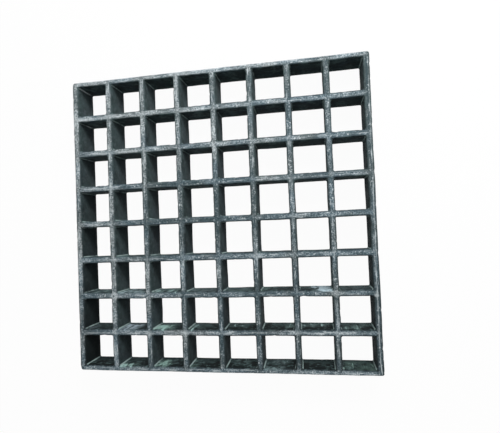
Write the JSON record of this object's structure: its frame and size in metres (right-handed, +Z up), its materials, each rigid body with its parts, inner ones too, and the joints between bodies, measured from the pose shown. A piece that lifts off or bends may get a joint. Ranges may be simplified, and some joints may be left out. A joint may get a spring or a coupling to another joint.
{
  "type": "moulded fibreglass grating",
  "caption": "Square-mesh moulded fibreglass grating panel: tapered bars cast in one piece, for walkways, drain covers and platforms.",
  "frame": {"origin": "middle of the underside, on the crossing of the two centre bars", "axes": "+Z up through the walking face; +X and +Y along the bars, +Y toward the top of the picture"},
  "size_m": [0.3104, 0.308, 0.03],
  "materials": {
    "fibreglass": "worn matte"
  },
  "bodies": {
    "root": {"grating_panel": "fibreglass"}
  },
  "joints": []
}
